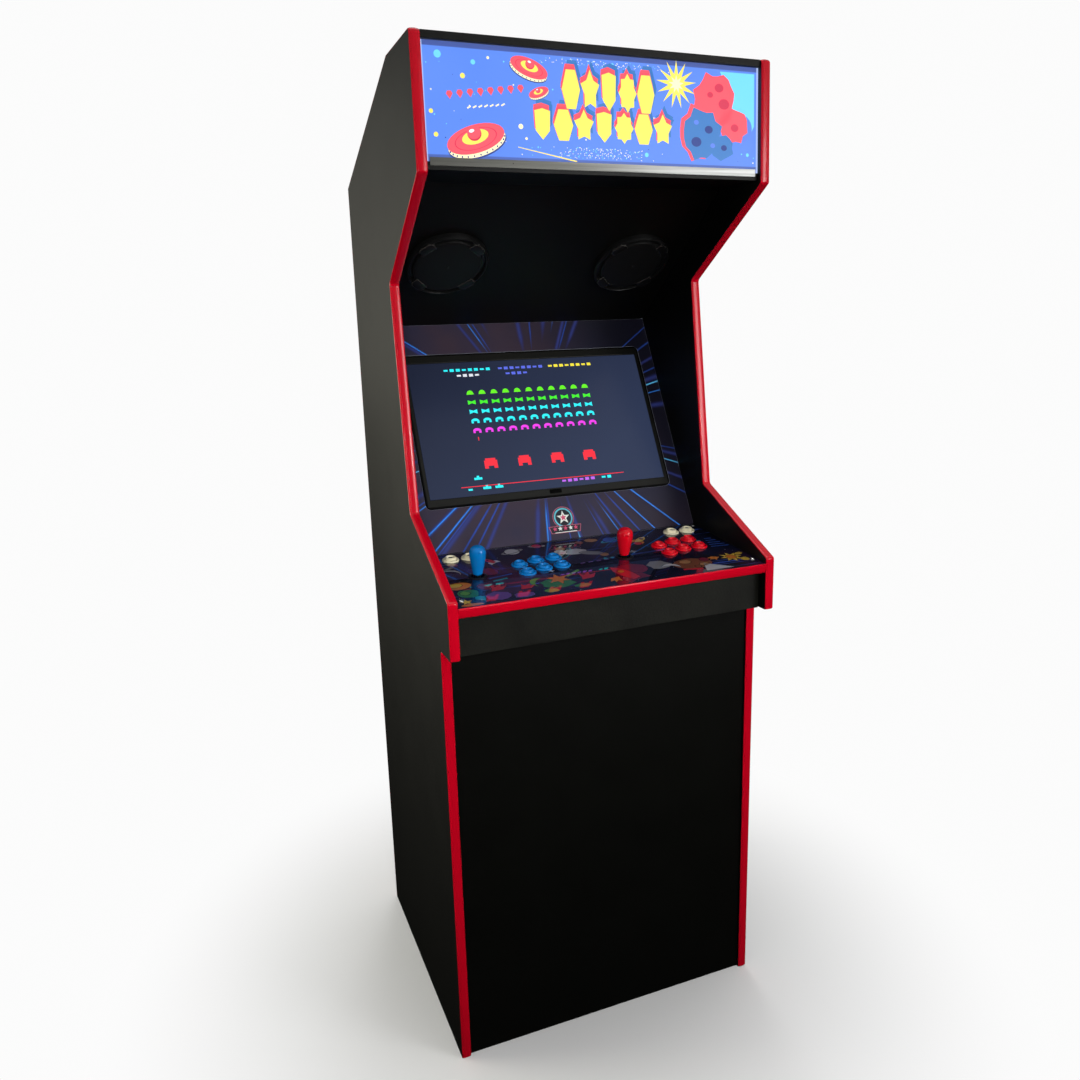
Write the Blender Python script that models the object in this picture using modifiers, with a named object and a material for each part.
"""Upright arcade cabinet with a two player control panel.

Metres, +Z up, the front faces -Y and +X is to the right of a person who looks at the front. The origin is on
the floor, in the middle of the cabinet's footprint.
"""

import math

import bmesh
import bpy
from mathutils import Matrix, Vector

# Driving dimensions ------------------------------------------------------------------------------------
CABINET_WIDTH = 0.650
SIDE_BOARD = 0.018  # thickness of the side panels, and so the width of the T-molding
BOARD = 0.012  # thickness of the other boards
FIT = 0.0003  # gap between two pieces that touch

MOLDING_BULGE = 0.0025  # how far the molding stands out of a board's edge
CONVEX_RADIUS = 0.004  # rounding of the side panel's outer corners
CONCAVE_RADIUS = 0.010  # and of its inner ones, the neck and the waist

# Corners of the side panel's board as (y, z), round from the front foot.
FRONT_FOOT = (-0.2475, 0.0)
STEP = (-0.2475, 0.8405)
NOSE_BOTTOM = (-0.3075, 0.8405)
NOSE_TOP = (-0.3075, 0.9425)
WAIST = (-0.0787, 1.0513)
NECK = (-0.0243, 1.4712)
MARQUEE_LIP = (-0.2595, 1.6293)
TOP_FRONT = (-0.2531, 1.8335)
CROWN = (-0.0995, 1.8335)
SHOULDER = (0.3075, 1.6783)
REAR_FOOT = (0.3075, 0.0)
SHARP = (FRONT_FOOT, STEP, NOSE_BOTTOM, REAR_FOOT)  # corners that aren't rounded
CORNER_STEPS = 4  # pieces that a rounded corner is drawn with

# The outline runs up the front and down the back, so its outer side is on the left.
UPPER_EDGE = (NOSE_BOTTOM, NOSE_TOP, WAIST, NECK, MARQUEE_LIP, TOP_FRONT, CROWN, SHOULDER, REAR_FOOT)

# The faces that the player sees, each from one edge to the other as (y, z).
PANEL_FRONT = (-0.3070, 0.9329)
PANEL_BACK = (-0.0460, 0.9583)
BEZEL_BOTTOM = (-0.0450, 0.9587)
BEZEL_TOP = (0.1860, 1.3955)
SPEAKERS_TOP = (-0.1235, 1.6340)
MARQUEE_BOTTOM = (-0.2502, 1.6464)
MARQUEE_TOP = (-0.2446, 1.8226)

LID_RISE = 0.0015  # how far the top boards stand above the side panels' edge
LID_SETBACK = 0.003  # and how far behind it their front edge lies
OVERLAY = 0.003
PANEL_BOARD = 0.015
BEZEL = 0.005
MARQUEE = 0.003

APRON_FRONT = -0.286
APRON_BOTTOM = 0.839
LOWER_FRONT = -0.243
LOWER_FRONT_TOP = 0.900
REAR_FACE = 0.3015  # outer face of the rear panels

BUTTON_COLUMN = 0.0375
BUTTON_TRAVEL = 0.0035
PLUNGER_RADIUS = 0.0118
HOUSING_BORE = 0.0121
HOUSING_RADIUS = 0.0137
FLANGE_RADIUS = 0.0165
BUTTON_HOLE = 0.0141
BUTTON_SIDES = 16

PIVOT_DEPTH = 0.027  # of the joystick's pivot below the control panel's face
STICK_HOLE = 0.0125
STICK_TOP = 0.0595
SHAFT_RADIUS = 0.00475

MONITOR_WIDTH = 0.546
MONITOR_HEIGHT = 0.3315
MONITOR_DEPTH = 0.045
MONITOR_CORNER = 0.011
MONITOR_PROUD = 0.002  # how far the monitor stands out of the bezel
MONITOR_MIDDLE = 0.2583  # from the bezel's bottom edge to the monitor's middle
SCREEN_WIDTH = 0.525
SCREEN_HEIGHT = 0.2935
SCREEN_RECESS = 0.0055
PANE = 0.0038

SPEAKER_SPACING = 0.396
SPEAKER_DISTANCE = 0.190  # from the speaker board's lower edge to the speakers' middle
SPEAKER_HOLE = 0.0745
COVER_RADIUS = 0.081
LUG_REACH = 0.0785

VENT_SLOT = (0.22, 4 * BOARD, 0.008)
VENT_SLOTS = 5
VENT_BOTTOM = 1.50
VENT_PITCH = 0.022

DOOR_BOTTOM = 0.0195
DOOR_TOP = 0.820
HINGE_X = -0.3045
HINGE_Y = 0.3040
KNUCKLE_RADIUS = 0.0022
LOCK_X = 0.200
LOCK_BELOW_TOP = 0.028
INLET_X = 0.220
INLET_Z = 0.900
INLET_HOLE = (0.0485, 4 * BOARD, 0.0285)
ROCKER_OFFSET = -0.0145  # from the middle of the inlet
ROCKER_TILT = math.radians(10)

# Worked out from them ----------------------------------------------------------------------------------
INNER_X = CABINET_WIDTH / 2 - SIDE_BOARD
BETWEEN = INNER_X - FIT  # half the length of a board between the side panels
LID_TOP = CROWN[1] + LID_RISE

BLUE_ORIGIN = (-0.1370, 0.1150)  # lower left button of each player's block, across and up the panel
RED_ORIGIN = (0.1645, 0.1180)
COLUMN_RISE = (0.0, 0.0115, 0.0130)  # the columns step up, as fingers do
ROW_PITCH = 0.0425
WHITE_PLACES = ((-0.2520, 0.2270), (-0.2140, 0.2270), (0.2300, 0.2270), (0.2680, 0.2270))
STICK_PLACES = {"left": (-0.2290, 0.1300), "right": (0.0700, 0.1300)}

MATERIALS = {
    "black_board": ((0.018, 0.019, 0.018), 0.55, 0.0),
    "red_molding": ((0.60, 0.005, 0.03), 0.22, 0.0),
    "overlay": ((0.03, 0.035, 0.09), 0.06, 0.0),
    "blue_plastic": ((0.0, 0.15, 0.50), 0.25, 0.0),
    "red_plastic": ((0.62, 0.01, 0.02), 0.25, 0.0),
    "white_plastic": ((0.78, 0.74, 0.60), 0.3, 0.0),
    "black_plastic": ((0.02, 0.02, 0.02), 0.4, 0.0),
    "bezel_print": ((0.06, 0.05, 0.13), 0.35, 0.0),
    "screen": ((0.02, 0.03, 0.07), 0.1, 0.0),
    "marquee_print": ((0.13, 0.21, 0.85), 0.2, 0.0),
    "steel": ((0.55, 0.56, 0.57), 0.3, 1.0),
    "aluminium": ((0.42, 0.42, 0.36), 0.45, 1.0),
    "lamp": ((0.9, 0.9, 0.85), 0.3, 0.0),
    "paper_cone": ((0.05, 0.05, 0.05), 0.7, 0.0),
}


# Scene, collections and materials ----------------------------------------------------------------------
def clear_scene():
    for thing in list(bpy.data.objects):
        bpy.data.objects.remove(thing, do_unlink=True)


def new_collection(name):
    made = bpy.data.collections.new(name)
    bpy.context.scene.collection.children.link(made)
    return made


clear_scene()
CABINET = new_collection("arcade_cabinet")
CUTTERS = new_collection("cutters")


def material(name):
    found = bpy.data.materials.get(name)
    if found:
        return found
    colour, roughness, metallic = MATERIALS[name]
    made = bpy.data.materials.new(name)
    made.use_nodes = True
    shader = made.node_tree.nodes["Principled BSDF"]
    shader.inputs["Base Color"].default_value = (*colour, 1.0)
    shader.inputs["Roughness"].default_value = roughness
    shader.inputs["Metallic"].default_value = metallic
    return made


def add(name, data, matrix, finish):
    """A piece of the cabinet."""
    thing = bpy.data.objects.new(name, data)
    CABINET.objects.link(thing)
    thing.matrix_world = matrix
    data.materials.clear()
    data.materials.append(material(finish))
    return thing


def add_cutter(name, data, matrix):
    thing = bpy.data.objects.new(name, data)
    CUTTERS.objects.link(thing)
    thing.matrix_world = matrix
    thing.hide_render = True
    thing.display_type = "WIRE"
    return thing


def to_cutter(thing):
    """Makes a piece a tool."""
    CABINET.objects.unlink(thing)
    CUTTERS.objects.link(thing)
    thing.hide_render = True
    thing.display_type = "WIRE"
    return thing


def combine(thing, tools, operation):
    """Cuts the tools from the thing, or joins them to it."""
    for tool in tools:
        modifier = thing.modifiers.new(tool.name, "BOOLEAN")
        modifier.operation = operation
        modifier.object = tool


# Planes and shapes -------------------------------------------------------------------------------------
class Face:
    """A flat face across the cabinet, as (y, z), from edge to edge with its outer side on the left."""

    def __init__(self, start, end):
        self.start = Vector(start)
        self.direction = (Vector(end) - self.start).normalized()
        self.normal = Vector((-self.direction.y, self.direction.x))
        self.length = (Vector(end) - self.start).length

    def point(self, distance, height=0.0):
        """(y, z) at a distance along the face and a height over it."""
        return self.start + self.direction * distance + self.normal * height

    def matrix(self, x, distance, height=0.0):
        """Local X across, Y along the face, Z out of it."""
        y, z = self.point(distance, height)
        turn = Matrix(
            (
                (1, 0, 0),
                (0, self.direction.x, self.normal.x),
                (0, self.direction.y, self.normal.y),
            )
        )
        return Matrix.Translation((x, y, z)) @ turn.to_4x4()

    def meet(self, height, other, other_height):
        """Where the line at a height over this face crosses the line at a height over the other."""
        here = self.point(0, height)
        there = other.point(0, other_height)
        across = self.direction.cross(other.direction)
        return here + self.direction * ((there - here).cross(other.direction) / across)


CONTROLS = Face(PANEL_FRONT, PANEL_BACK)
BEZEL_FACE = Face(BEZEL_BOTTOM, BEZEL_TOP)
SPEAKER_FACE = Face(BEZEL_TOP, SPEAKERS_TOP)
MARQUEE_FACE = Face(MARQUEE_BOTTOM, MARQUEE_TOP)
SLOPE_FACE = Face(CROWN, SHOULDER)

SIDEWAYS = Matrix(((0, 0, 1), (1, 0, 0), (0, 1, 0))).to_4x4()  # local X to +Y, Y to +Z, Z to +X
SIDEWAYS_BACK = Matrix(((0, 0, 1), (0, 1, 0), (-1, 0, 0))).to_4x4()  # local X to -Z, Y to +Y, Z to +X
OUT_OF_BACK = Matrix.Rotation(-math.pi / 2, 4, "X")  # local Z to +Y


def flat(name, outline, thickness, matrix, finish):
    """A flat piece: the outline in local X and Y, half the thickness to each side of it."""
    curve = bpy.data.curves.new(name, "CURVE")
    curve.dimensions = "2D"
    curve.fill_mode = "BOTH"
    curve.extrude = thickness / 2
    spline = curve.splines.new("POLY")
    spline.points.add(len(outline) - 1)
    for point, (x, y) in zip(spline.points, outline):
        point.co = (x, y, 0, 1)
    spline.use_cyclic_u = True
    return as_mesh(add(name, curve, matrix, finish), finish)


def as_mesh(curve_object, finish):
    """The same piece as a mesh, with its caps joined on."""
    name = curve_object.name
    graph = bpy.context.evaluated_depsgraph_get()
    data = bpy.data.meshes.new_from_object(curve_object.evaluated_get(graph))
    matrix = curve_object.matrix_world.copy()
    bpy.data.objects.remove(curve_object, do_unlink=True)
    shape = bmesh.new()
    shape.from_mesh(data)
    bmesh.ops.remove_doubles(shape, verts=shape.verts, dist=0.00001)
    bmesh.ops.recalc_face_normals(shape, faces=shape.faces)
    shape.to_mesh(data)
    shape.free()
    return add(name, data, matrix, finish)


def board(name, outline, finish="black_board", reach=BETWEEN):
    """A board across the cabinet, from its section as (y, z) points."""
    return flat(name, outline, 2 * reach, SIDEWAYS, finish)


def slab(face, low, high, thickness, height=0.0):
    """Section of a board that lies along a face."""
    return [
        face.point(low, height),
        face.point(high, height),
        face.point(high, height - thickness),
        face.point(low, height - thickness),
    ]


def box_mesh(name, size):
    shape = bmesh.new()
    bmesh.ops.create_cube(shape, size=1.0, matrix=Matrix.Diagonal((*size, 1.0)))
    data = bpy.data.meshes.new(name)
    shape.to_mesh(data)
    shape.free()
    return data


def rod_mesh(name, radius, length, sides=16):
    """A rod about local Z."""
    shape = bmesh.new()
    bmesh.ops.create_cone(shape, cap_ends=True, segments=sides, radius1=radius, radius2=radius, depth=length)
    data = bpy.data.meshes.new(name)
    shape.to_mesh(data)
    shape.free()
    return data


def turned(name, profile, matrix, finish, sides=BUTTON_SIDES):
    """A turned piece about local Z, from (radius, height) points down its outer side."""
    data = bpy.data.meshes.new(name)
    edges = [(index, index + 1) for index in range(len(profile) - 1)]
    data.from_pydata([(radius, 0, height) for radius, height in profile], edges, [])
    thing = add(name, data, matrix, finish)
    screw = thing.modifiers.new("turn", "SCREW")
    screw.steps = sides
    screw.render_steps = sides
    screw.use_merge_vertices = True
    screw.merge_threshold = 0.00001
    return thing


def ring_closed(profile):
    """A profile that ends where it starts, for a turned piece with a hole through it."""
    return [*profile, profile[0]]


def place(x, y, z):
    return Matrix.Translation((x, y, z))


# The side panels' outline ------------------------------------------------------------------------------
def rounded(corners, closed):
    """The corners as (y, z), each with its outward normal. All but SHARP ones and open ends are rounded."""
    points = []
    count = len(corners)
    for index, corner in enumerate(corners):
        here = Vector(corner)
        if not closed and index in (0, count - 1):
            along = (Vector(corners[1]) - here) if index == 0 else (here - Vector(corners[-2]))
            along.normalize()
            points.append((here, Vector((-along.y, along.x))))
            continue
        before = (here - Vector(corners[index - 1])).normalized()
        after = (Vector(corners[(index + 1) % count]) - here).normalized()
        if corner in SHARP:
            points.append((here, Vector((-before.y, before.x))))
            continue
        bend = before.angle(after)
        side = -1 if before.cross(after) < 0 else 1
        radius = CONVEX_RADIUS if side < 0 else CONCAVE_RADIUS
        tangent = here - before * radius * math.tan(bend / 2)
        centre = tangent + Vector((-before.y, before.x)) * radius * side
        for step in range(CORNER_STEPS + 1):
            outward = Vector((-before.y, before.x))
            outward.rotate(Matrix.Rotation(bend * step / CORNER_STEPS * side, 2))
            points.append((centre - outward * radius * side, outward))
    return points


def molding(name, path, width, matrix, finish="red_molding"):
    """A strip along an edge: its back lies on the path, and its front bulges and has rounded edges."""
    section = (
        (-1.0, FIT),
        (1.0, FIT),
        (1.0, MOLDING_BULGE * 0.35),
        (0.75, MOLDING_BULGE * 0.85),
        (0.0, MOLDING_BULGE),
        (-0.75, MOLDING_BULGE * 0.85),
        (-1.0, MOLDING_BULGE * 0.35),
    )
    shape = bmesh.new()
    rings = []
    for point, outward in path:
        ring = []
        for across, rise in section:
            spot = point + outward * rise
            ring.append(shape.verts.new((spot.x, spot.y, across * width / 2)))
        rings.append(ring)
    for first, second in zip(rings, rings[1:]):
        for index in range(len(section)):
            after = (index + 1) % len(section)
            shape.faces.new((first[index], first[after], second[after], second[index]))
    shape.faces.new(rings[0])
    shape.faces.new(rings[-1])
    bmesh.ops.recalc_face_normals(shape, faces=shape.faces)
    data = bpy.data.meshes.new(name)
    shape.to_mesh(data)
    shape.free()
    return add(name, data, matrix, finish)


def side_panels():
    corners = (FRONT_FOOT, STEP, *UPPER_EDGE)
    outline = []
    for point, _ in rounded(corners, closed=True):
        outline.append((point.x, point.y))
    middle = (CABINET_WIDTH - SIDE_BOARD) / 2
    for side, x in (("left", -middle), ("right", middle)):
        flat(f"side_panel_{side}", outline, SIDE_BOARD, place(x, 0, 0) @ SIDEWAYS, "black_board")
        upper = rounded(UPPER_EDGE, closed=False)
        molding(f"edge_molding_{side}", upper, SIDE_BOARD, place(x, 0, 0) @ SIDEWAYS)
        lower = rounded((FRONT_FOOT, (STEP[0], STEP[1] - FIT)), closed=False)
        molding(f"lower_edge_molding_{side}", lower, SIDE_BOARD, place(x, 0, 0) @ SIDEWAYS)


# Boards of the case ------------------------------------------------------------------------------------
def case_boards():
    rear_inner = REAR_FACE - BOARD
    front, top = LOWER_FRONT, LOWER_FRONT_TOP
    board("lower_front_panel", [(front, 0.001), (front, top), (front + BOARD, top), (front + BOARD, 0.001)])
    low, high = front + BOARD + FIT, REAR_FACE
    board("base_board", [(low, 0.0), (low, SIDE_BOARD), (high, SIDE_BOARD), (high, 0.0)])

    crown_y = CROWN[0]
    front_y = TOP_FRONT[0] + LID_SETBACK
    under = LID_TOP - BOARD
    back_y = crown_y - FIT
    board("top_board", [(front_y, under), (front_y, LID_TOP), (back_y, LID_TOP), (back_y, under)])

    slope_depth = BOARD / SLOPE_FACE.normal.y
    fall = SLOPE_FACE.direction.y / SLOPE_FACE.direction.x
    end_y = SHOULDER[0] - FIT
    end_z = LID_TOP + fall * (end_y - crown_y)
    board(
        "sloped_rear_panel",
        [(crown_y, LID_TOP - slope_depth), (crown_y, LID_TOP), (end_y, end_z), (end_y, end_z - slope_depth)],
    )

    low = DOOR_TOP + 0.002
    inner_high, outer_high = (
        LID_TOP + fall * (y - crown_y) - slope_depth - FIT for y in (rear_inner, REAR_FACE)
    )
    outline = [(rear_inner, low), (rear_inner, inner_high), (REAR_FACE, outer_high), (REAR_FACE, low)]
    rear = board("upper_rear_panel", outline)
    cutters = []
    for index in range(VENT_SLOTS):
        slot = box_mesh("vent_slot", VENT_SLOT)
        height = VENT_BOTTOM + VENT_PITCH * index
        cutters.append(add_cutter(f"vent_slot_{index}", slot, place(0, REAR_FACE, height)))
    inlet = box_mesh("inlet_hole", INLET_HOLE)
    cutters.append(add_cutter("inlet_hole", inlet, place(INLET_X, REAR_FACE, INLET_Z)))
    combine(rear, cutters, "DIFFERENCE")


def marquee_box():
    low, high = FIT, MARQUEE_FACE.length
    board("marquee_panel", slab(MARQUEE_FACE, low, high, MARQUEE), "marquee_print")
    floor_low = SPEAKERS_TOP[1]
    floor_high = floor_low + BOARD
    front = MARQUEE_FACE.point(0, -FIT).x
    back_low = SPEAKER_FACE.meet(FIT, Face((0, floor_low), (1, floor_low)), 0)
    back_high = SPEAKER_FACE.meet(FIT, Face((0, floor_high), (1, floor_high)), 0)
    board("marquee_floor", [(front, floor_low), (front, floor_high), back_high, back_low])
    strip = 0.0015
    lip = [
        MARQUEE_FACE.point(-0.0062, FIT),
        MARQUEE_FACE.point(0.0064, FIT),
        MARQUEE_FACE.point(0.0064, FIT + strip),
        MARQUEE_FACE.point(-0.0062, FIT + strip),
    ]
    board("marquee_retainer", lip, "aluminium", reach=BETWEEN - 0.006)
    top = 0.030
    batten = [(0.020, top), (-0.020, top), (-0.020, 0.008), (-0.013, -0.009), (0.013, -0.009), (0.020, 0.008)]
    where = place(0, -0.165, LID_TOP - BOARD - top - FIT) @ SIDEWAYS
    flat("marquee_light", batten, 0.560, where, "lamp")


def speaker_board():
    floor = Face((0, SPEAKERS_TOP[1]), (1, SPEAKERS_TOP[1]))
    high = (SPEAKER_FACE.meet(0, floor, 0.020) - SPEAKER_FACE.start).length
    panel = board("speaker_panel", slab(SPEAKER_FACE, -0.012, high, BOARD))
    cutters = []
    for side, x in (("left", -SPEAKER_SPACING / 2), ("right", SPEAKER_SPACING / 2)):
        where = SPEAKER_FACE.matrix(x, SPEAKER_DISTANCE)
        hole = rod_mesh("speaker_hole", SPEAKER_HOLE, 4 * BOARD, sides=24)
        cutters.append(add_cutter(f"speaker_hole_{side}", hole, where))
        driver = (
            (0.0, -0.020),
            (0.018, -0.016),
            (0.030, -0.020),
            (0.062, -0.004),
            (0.070, 0.0035),
            (0.0775, 0.0035),
            (0.0775, FIT),
            (0.0735, FIT),
            (0.0735, -0.006),
            (0.048, -0.045),
            (0.045, -0.046),
            (0.045, -0.064),
            (0.0, -0.064),
        )
        turned(f"speaker_{side}", driver, where, "paper_cone", sides=24)
        speaker_cover(side, where)
    combine(panel, cutters, "DIFFERENCE")


def speaker_cover(side, where):
    """A disc with sloped sides in a sloped ring, with four lugs that cross the channel between them."""
    profile = (
        (0.0, 0.0128),
        (0.0600, 0.0124),
        (0.0692, 0.0088),
        (0.0700, 0.0064),
        (0.0752, 0.0064),
        (0.0762, 0.0118),
        (0.0785, 0.0112),
        (COVER_RADIUS, 0.0062),
        (COVER_RADIUS, FIT),
        (0.0782, FIT),
        (0.0782, 0.0048),
        (0.0690, 0.0048),
        (0.0620, 0.0090),
        (0.0, 0.0102),
    )
    name = f"speaker_cover_{side}"
    cover = turned(name, profile, where, "black_plastic", sides=32)
    root, bend, half, tip = 0.058, 0.072, 0.015, 0.009
    lug = [(root, -half), (bend, -half), (LUG_REACH, -tip), (LUG_REACH, tip), (bend, half), (root, half)]
    low, high = 0.0056, 0.0136
    lugs = []
    for turn in range(4):
        at = Matrix.Rotation(math.radians(45 + 90 * turn), 4, "Z") @ place(0, 0, (low + high) / 2)
        shape = flat(f"{name}_lug_{turn}", lug, high - low, where @ at, "black_plastic")
        lugs.append(to_cutter(shape))
    combine(cover, lugs, "UNION")


def rounded_rectangle(width, height, radius):
    points = []
    for quarter, (side, end) in enumerate(((1, 1), (-1, 1), (-1, -1), (1, -1))):
        for step in range(CORNER_STEPS + 1):
            turn = math.pi / 2 * (quarter + step / CORNER_STEPS)
            x = side * (width / 2 - radius) + radius * math.cos(turn)
            y = end * (height / 2 - radius) + radius * math.sin(turn)
            points.append((x, y))
    return points


def bezel_and_monitor():
    floor = Face(PANEL_FRONT, PANEL_BACK)
    front_low = BEZEL_FACE.meet(0, floor, FIT)
    back_low = BEZEL_FACE.meet(-BEZEL, floor, FIT)
    front_high = BEZEL_FACE.meet(0, SPEAKER_FACE, FIT)
    back_high = BEZEL_FACE.meet(-BEZEL, SPEAKER_FACE, FIT)
    panel = board("bezel_panel", [front_low, front_high, back_high, back_low], "bezel_print")
    gap = 0.0005
    opening = rounded_rectangle(MONITOR_WIDTH + 2 * gap, MONITOR_HEIGHT + 2 * gap, MONITOR_CORNER + gap)
    where = BEZEL_FACE.matrix(0, MONITOR_MIDDLE)
    hole = to_cutter(flat("monitor_hole", opening, 6 * BEZEL, where, "black_plastic"))
    combine(panel, [hole], "DIFFERENCE")

    housing = rounded_rectangle(MONITOR_WIDTH, MONITOR_HEIGHT, MONITOR_CORNER)
    middle = BEZEL_FACE.matrix(0, MONITOR_MIDDLE, MONITOR_PROUD - MONITOR_DEPTH / 2)
    body = flat("monitor_housing", housing, MONITOR_DEPTH, middle, "black_plastic")
    well = box_mesh("screen_well", (SCREEN_WIDTH, SCREEN_HEIGHT, 2 * SCREEN_RECESS))
    cutter = add_cutter("screen_well", well, BEZEL_FACE.matrix(0, MONITOR_MIDDLE, MONITOR_PROUD))
    combine(body, [cutter], "DIFFERENCE")
    add(
        "monitor_screen",
        box_mesh("monitor_screen", (SCREEN_WIDTH - 2 * FIT, SCREEN_HEIGHT - 2 * FIT, PANE)),
        BEZEL_FACE.matrix(0, MONITOR_MIDDLE, MONITOR_PROUD - SCREEN_RECESS + FIT + PANE / 2),
        "screen",
    )
    monitor_mount()


def monitor_mount():
    """A bent steel bracket behind the monitor, from side panel to side panel."""
    back = MONITOR_PROUD - MONITOR_DEPTH - FIT
    sheet = 0.0025
    foot = 0.025
    mount = [
        (-BETWEEN, back + foot),
        (-BETWEEN, back - sheet),
        (BETWEEN, back - sheet),
        (BETWEEN, back + foot),
        (BETWEEN - sheet, back + foot),
        (BETWEEN - sheet, back),
        (-BETWEEN + sheet, back),
        (-BETWEEN + sheet, back + foot),
    ]
    along = BEZEL_FACE.matrix(0, MONITOR_MIDDLE) @ Matrix.Rotation(math.pi / 2, 4, "X")
    flat("monitor_mount", mount, 0.110, along, "steel")


# Control panel -----------------------------------------------------------------------------------------
def button_places():
    """Name, place across and up the panel, and finish of each push button."""
    places = []
    for colour, (left, low) in (("blue", BLUE_ORIGIN), ("red", RED_ORIGIN)):
        for row, title in enumerate(("lower", "upper")):
            for column, rise in enumerate(COLUMN_RISE):
                name = f"{colour}_{title}_{column + 1}"
                places.append((name, left + BUTTON_COLUMN * column, low + rise + ROW_PITCH * row, colour))
    titles = ("white_left_1", "white_left_2", "white_right_1", "white_right_2")
    for name, (x, distance) in zip(titles, WHITE_PLACES):
        places.append((name, x, distance, "white"))
    return places


def control_panel():
    length = CONTROLS.length - 0.0005
    overlay = board("control_panel_overlay", slab(CONTROLS, 0.0, length, OVERLAY), "overlay")
    panel = board("control_panel_board", slab(CONTROLS, 0.0, length, PANEL_BOARD, -OVERLAY - FIT))
    drills = []
    for name, x, distance, _ in button_places():
        hole = rod_mesh("button_hole", BUTTON_HOLE, 0.08)
        drills.append(add_cutter(f"hole_{name}", hole, CONTROLS.matrix(x, distance)))
    for side, (x, distance) in STICK_PLACES.items():
        hole = rod_mesh("stick_hole", STICK_HOLE, 0.08)
        drills.append(add_cutter(f"hole_stick_{side}", hole, CONTROLS.matrix(x, distance)))
    combine(overlay, drills, "DIFFERENCE")
    combine(panel, drills, "DIFFERENCE")

    front_edge = Face(CONTROLS.point(0, -SIDE_BOARD - FIT), CONTROLS.point(0, 0))
    middle = front_edge.point(SIDE_BOARD / 2)
    strip = [(Vector((-BETWEEN, 0.0)), Vector((0, 1))), (Vector((BETWEEN, 0.0)), Vector((0, 1)))]
    normal = front_edge.normal
    across = Matrix(((1, 0, 0), (0, normal.x, -normal.y), (0, normal.y, normal.x))).to_4x4()
    molding("control_panel_molding", strip, SIDE_BOARD, place(0, middle.x, middle.y) @ across)

    front, back = APRON_FRONT, APRON_FRONT + SIDE_BOARD
    under = -OVERLAY - PANEL_BOARD - 3 * FIT
    level = Face((front, 0), (front, 1))
    rear = Face((back, 0), (back, 1))
    top_front = CONTROLS.meet(under, level, 0)
    top_back = CONTROLS.meet(under, rear, 0)
    board("control_panel_apron", [(front, APRON_BOTTOM), top_front, top_back, (back, APRON_BOTTOM)])


def buttons():
    plunger = (
        (0.0, 0.0040),
        (0.0064, 0.0046),
        (0.0078, 0.0074),
        (0.0092, 0.0076),
        (PLUNGER_RADIUS, 0.0050),
        (PLUNGER_RADIUS, -0.0080),
        (0.0, -0.0080),
    )
    housing = (
        (0.0, -0.0130),
        (HOUSING_BORE, -0.0130),
        (HOUSING_BORE, 0.0024),
        (0.0130, 0.0032),
        (0.0144, 0.0032),
        (0.0157, 0.0025),
        (FLANGE_RADIUS, 0.0012),
        (FLANGE_RADIUS, FIT),
        (HOUSING_RADIUS, FIT),
        (HOUSING_RADIUS, -0.0260),
        (0.0, -0.0260),
    )
    blocks = {"left": [], "right": []}
    for name, x, distance, colour in button_places():
        where = CONTROLS.matrix(x, distance)
        turned(f"button_{name}", plunger, where, f"{colour}_plastic")
        blocks["left" if x < 0 else "right"].append((name, x, distance, housing))
    for side, block in blocks.items():
        finish = "blue_plastic" if side == "left" else "red_plastic"
        housings_on_bus(f"button_housings_{side}", block, finish)


def housings_on_bus(title, block, finish):
    """The housings of one player's buttons, with a switch below each and the wiring bus that joins them."""
    switch_depth = -0.034
    shells = []
    tools = []
    for name, x, distance, profile in block:
        shells.append(turned(f"{title}_{name}", profile, CONTROLS.matrix(x, distance), finish))
        switch = box_mesh("microswitch", (0.010, 0.020, 0.018))
        tools.append(add(f"switch_{name}", switch, CONTROLS.matrix(x, distance, switch_depth), finish))
    ordered = sorted(block, key=row_then_column)
    for (_, x, distance, _), (_, next_x, next_distance, _) in zip(ordered, ordered[1:]):
        run = Vector((next_x - x, next_distance - distance))
        wire = box_mesh("bus", (run.length, 0.003, 0.003))
        turn = Matrix.Rotation(math.atan2(run.y, run.x), 4, "Z")
        middle = CONTROLS.matrix((x + next_x) / 2, (distance + next_distance) / 2, switch_depth)
        tools.append(add("bus", wire, middle @ turn, finish))
    first = shells[0]
    for tool in (*shells[1:], *tools):
        to_cutter(tool)
    combine(first, [*shells[1:], *tools], "UNION")
    first.name = title


def row_then_column(button):
    """Sorts the buttons by row, from the player, and along each row."""
    name, x, _, _ = button
    row = next(index for index, title in enumerate(("lower", "upper", "white")) if title in name)
    return row, x


def joysticks():
    for side, (x, distance) in STICK_PLACES.items():
        colour = "blue_plastic" if side == "left" else "red_plastic"
        pivot = CONTROLS.matrix(x, distance, -PIVOT_DEPTH)
        joystick_base(side, pivot)
        joystick_gimbal(side, pivot)
        joystick_lever(side, pivot, colour)


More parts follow.
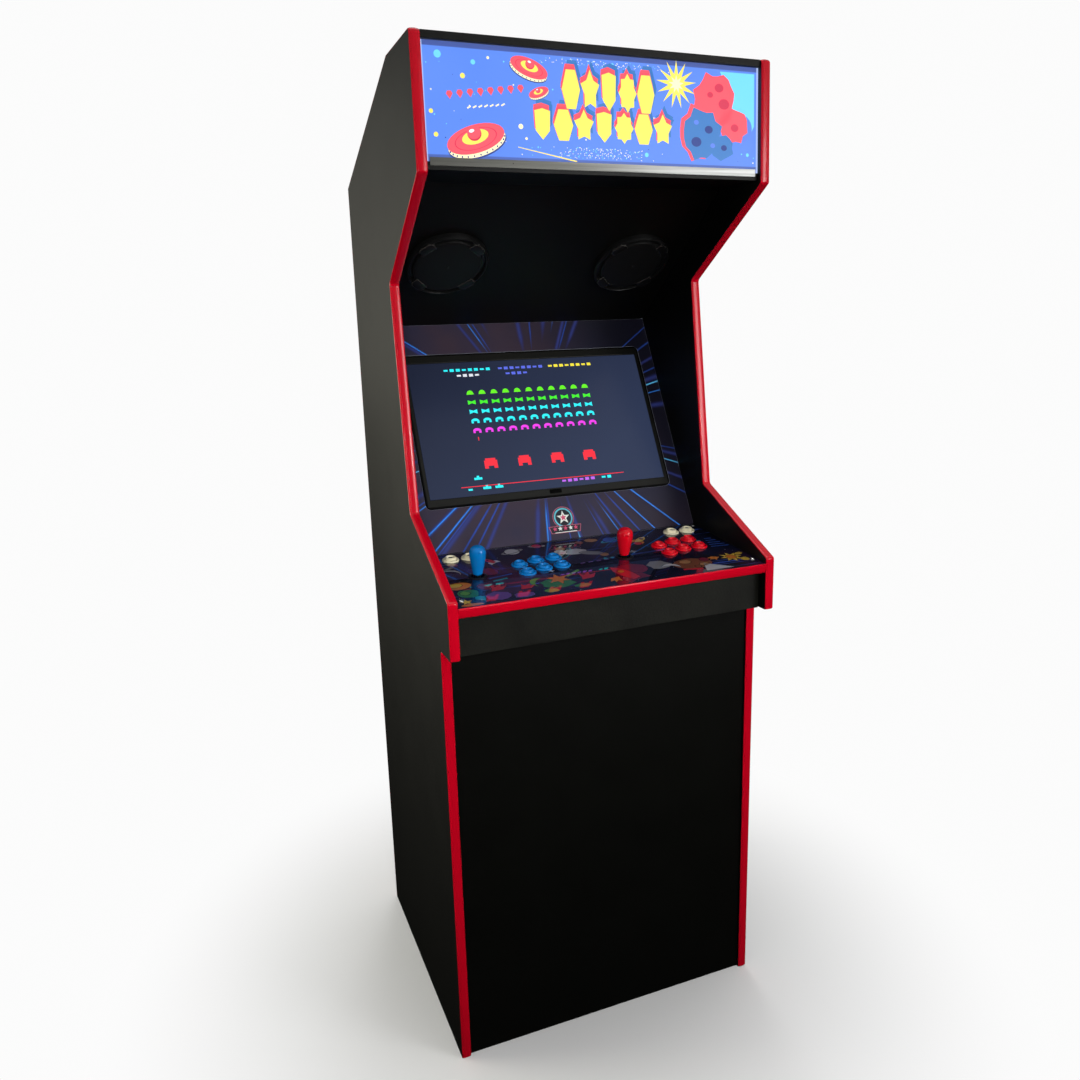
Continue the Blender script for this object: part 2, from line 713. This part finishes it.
def joystick_base(side, pivot):
    """A plate under the board, a body with a well for the gimbal, and four switches below it."""
    plate_top = PIVOT_DEPTH - OVERLAY - PANEL_BOARD - 3 * FIT
    plate = 0.002
    body_height = 0.030
    overlap = 0.0005
    name = f"joystick_base_{side}"
    plate_shape = box_mesh(name, (0.062, 0.094, plate))
    base = add(name, plate_shape, pivot @ place(0, 0, plate_top - plate / 2), "black_plastic")
    body = box_mesh("body", (0.056, 0.056, body_height))
    body_middle = plate_top - plate - body_height / 2 + overlap
    parts = [add_cutter(f"{name}_body", body, pivot @ place(0, 0, body_middle))]
    floor = plate_top - plate - body_height
    for turn in range(4):
        side_switch = Matrix.Rotation(math.pi / 2 * turn, 4, "Z") @ place(0.0245, 0, floor - 0.004)
        shape = box_mesh("switch", (0.006, 0.026, 0.012))
        parts.append(add_cutter(f"{name}_switch_{turn}", shape, pivot @ side_switch))
    combine(base, parts, "UNION")
    well_height = body_height + 2 * overlap
    well = box_mesh("well", (0.036, 0.036, well_height))
    opening = rod_mesh("opening", STICK_HOLE, 0.02)
    pin_hole = rod_mesh("pin_hole", 0.0026, 0.044, sides=12)
    cutters = [
        add_cutter(f"{name}_well", well, pivot @ place(0, 0, plate_top - plate - well_height / 2)),
        add_cutter(f"{name}_opening", opening, pivot @ place(0, 0, plate_top)),
        add_cutter(f"{name}_pin_hole", pin_hole, pivot @ Matrix.Rotation(math.pi / 2, 4, "Y")),
    ]
    combine(base, cutters, "DIFFERENCE")


def joystick_gimbal(side, pivot):
    """The ring that tips about local X on its pins, and holds the lever's pins along local Y."""
    name = f"joystick_gimbal_{side}"
    ring = ring_closed(((0.0075, 0.0035), (0.0120, 0.0035), (0.0120, -0.0035), (0.0075, -0.0035)))
    gimbal = turned(name, ring, pivot, "white_plastic")
    pins = []
    for turn in (0, 1):
        around = Matrix.Rotation(math.pi * turn, 4, "Z")
        out = around @ place(0.0160, 0, 0) @ Matrix.Rotation(math.pi / 2, 4, "Y")
        pins.append(add_cutter(f"{name}_pin_{turn}", rod_mesh("pin", 0.0022, 0.0100, sides=12), pivot @ out))
    combine(gimbal, pins, "UNION")
    hole = rod_mesh("lever_pin_hole", 0.0019, 0.030, sides=12)
    across = pivot @ Matrix.Rotation(math.pi / 2, 4, "X")
    combine(gimbal, [add_cutter(f"{name}_hole", hole, across)], "DIFFERENCE")


def joystick_lever(side, pivot, finish):
    name = f"joystick_lever_{side}"
    top = PIVOT_DEPTH + STICK_TOP
    bottom = PIVOT_DEPTH + 0.0045
    profile = (
        (0.0, top),
        (0.0060, top - 0.0012),
        (0.0112, top - 0.0046),
        (0.0146, top - 0.0098),
        (0.0157, top - 0.0155),
        (0.0150, top - 0.0240),
        (0.0095, bottom + 0.0015),
        (0.0085, bottom),
        (SHAFT_RADIUS, bottom),
        (SHAFT_RADIUS, -0.0120),
        (0.0075, -0.0120),
        (0.0075, -0.0260),
        (0.0, -0.0260),
    )
    lever = turned(name, profile, pivot, finish)
    pin = rod_mesh("lever_pin", 0.0015, 0.0230, sides=12)
    across = pivot @ Matrix.Rotation(math.pi / 2, 4, "X")
    combine(lever, [add_cutter(f"{name}_pin", pin, across)], "UNION")


# Back of the cabinet -----------------------------------------------------------------------------------
def rear_door():
    leaf = 0.0012
    low_x = HINGE_X + KNUCKLE_RADIUS + FIT
    high_x = BETWEEN - 0.002
    middle = ((low_x + high_x) / 2, REAR_FACE - BOARD / 2, (DOOR_BOTTOM + DOOR_TOP) / 2)
    size = (high_x - low_x, BOARD, DOOR_TOP - DOOR_BOTTOM)
    door = add("rear_door", box_mesh("rear_door", size), place(*middle), "black_board")
    where = place(LOCK_X, REAR_FACE, DOOR_TOP - LOCK_BELOW_TOP) @ OUT_OF_BACK
    hole = rod_mesh("lock_hole", 0.0100, 4 * BOARD)
    combine(door, [add_cutter("lock_hole", hole, where)], "DIFFERENCE")
    door_lock(where)
    hinge(leaf)


def door_lock(where):
    """A barrel through the door, and a plug in it with a cam arm behind the door."""
    behind = -BOARD - 0.0012
    barrel = ring_closed(
        (
            (0.0062, 0.0020),
            (0.0090, 0.0030),
            (0.0125, 0.0020),
            (0.0125, FIT),
            (0.0096, FIT),
            (0.0096, behind),
            (0.0062, behind),
        )
    )
    turned("door_lock_barrel", barrel, where, "steel")
    end = -BOARD - 0.0046
    profile = ((0.0, 0.0022), (0.0058, 0.0022), (0.0058, end), (0.0, end))
    plug = turned("door_lock_cam", profile, where, "steel")
    arm = box_mesh("cam_arm", (0.054, 0.014, 0.002))
    combine(plug, [add_cutter("cam_arm", arm, where @ place(0.019, 0, -BOARD - 0.0026))], "UNION")


def hinge(leaf):
    """A long hinge with five knuckles, two of them on the door, and its pin fixed in the other three."""
    low, high = 0.060, DOOR_TOP - 0.040
    knuckles = 5
    knuckle = (high - low) / knuckles
    gap = 0.0005
    width = 0.0135
    bore = 0.0013
    middle_z = (low + high) / 2
    leaves = {}
    for title, side in (("fixed", -1), ("moving", 1)):
        name = f"door_hinge_{title}_leaf"
        x = HINGE_X + side * (KNUCKLE_RADIUS - leaf / 2)
        size = (leaf, width, high - low)
        leaves[title] = add(name, box_mesh(name, size), place(x, HINGE_Y - width / 2, middle_z), "steel")
    joins = {"fixed": [], "moving": []}
    notches = {"fixed": [], "moving": []}
    for index in range(knuckles):
        owner, other = ("fixed", "moving") if index % 2 == 0 else ("moving", "fixed")
        z = low + knuckle * (index + 0.5)
        where = place(HINGE_X, HINGE_Y, z)
        barrel = rod_mesh("knuckle", KNUCKLE_RADIUS, knuckle - gap)
        joins[owner].append(add_cutter(f"knuckle_{index}", barrel, where))
        notch = box_mesh("notch", (0.012, 0.0062, knuckle + gap))
        notches[other].append(add_cutter(f"notch_{index}", notch, where))
    combine(leaves["fixed"], notches["fixed"], "DIFFERENCE")
    combine(leaves["moving"], notches["moving"], "DIFFERENCE")
    combine(leaves["fixed"], joins["fixed"], "UNION")
    combine(leaves["moving"], joins["moving"], "UNION")
    pin_hole = rod_mesh("hinge_bore", bore, high - low + 0.02, sides=12)
    middle = place(HINGE_X, HINGE_Y, middle_z)
    combine(leaves["moving"], [add_cutter("hinge_bore", pin_hole, middle)], "DIFFERENCE")
    pin = rod_mesh("hinge_pin", 0.0010, high - low - 0.004, sides=12)
    combine(leaves["fixed"], [add_cutter("hinge_pin", pin, middle)], "UNION")


def power_and_computer():
    where = place(INLET_X, REAR_FACE, INLET_Z) @ OUT_OF_BACK
    name = "power_inlet"
    plate = 0.0030
    flange = box_mesh(name, (0.060, 0.040, plate))
    inlet = add(name, flange, where @ place(0, 0, plate / 2 + FIT), "black_plastic")
    body = box_mesh("inlet_body", (0.0475, 0.0275, 0.034))
    combine(inlet, [add_cutter("inlet_body", body, where @ place(0, 0, -0.0155))], "UNION")
    socket = box_mesh("socket", (0.0240, 0.0185, 0.020))
    rocker_well = box_mesh("rocker_well", (0.0125, 0.0215, 0.012))
    cutters = [
        add_cutter("inlet_socket", socket, where @ place(0.0085, 0, -0.0045)),
        add_cutter("rocker_well", rocker_well, where @ place(ROCKER_OFFSET, 0, -0.0005)),
    ]
    combine(inlet, cutters, "DIFFERENCE")
    half, crest, brow, keel = 0.0095, 0.0022, -0.0005, -0.0042
    pivot_y = REAR_FACE + 0.0005
    rocker = [(-half, crest), (0.0, 0.0008), (half, crest), (half, brow), (0.0, keel), (-half, brow)]
    tip = Matrix.Rotation(ROCKER_TILT, 4, "X") @ SIDEWAYS_BACK
    rocker_place = place(INLET_X + ROCKER_OFFSET, pivot_y, INLET_Z)
    flat("power_rocker", rocker, 0.0115, rocker_place @ tip, "red_plastic")
    computer = (0.190, 0.150, 0.048)
    standing = place(-0.120, 0.030, SIDE_BOARD + FIT + computer[2] / 2)
    add("game_computer", box_mesh("game_computer", computer), standing, "black_plastic")


side_panels()
case_boards()
marquee_box()
speaker_board()
bezel_and_monitor()
control_panel()
buttons()
joysticks()
rear_door()
power_and_computer()
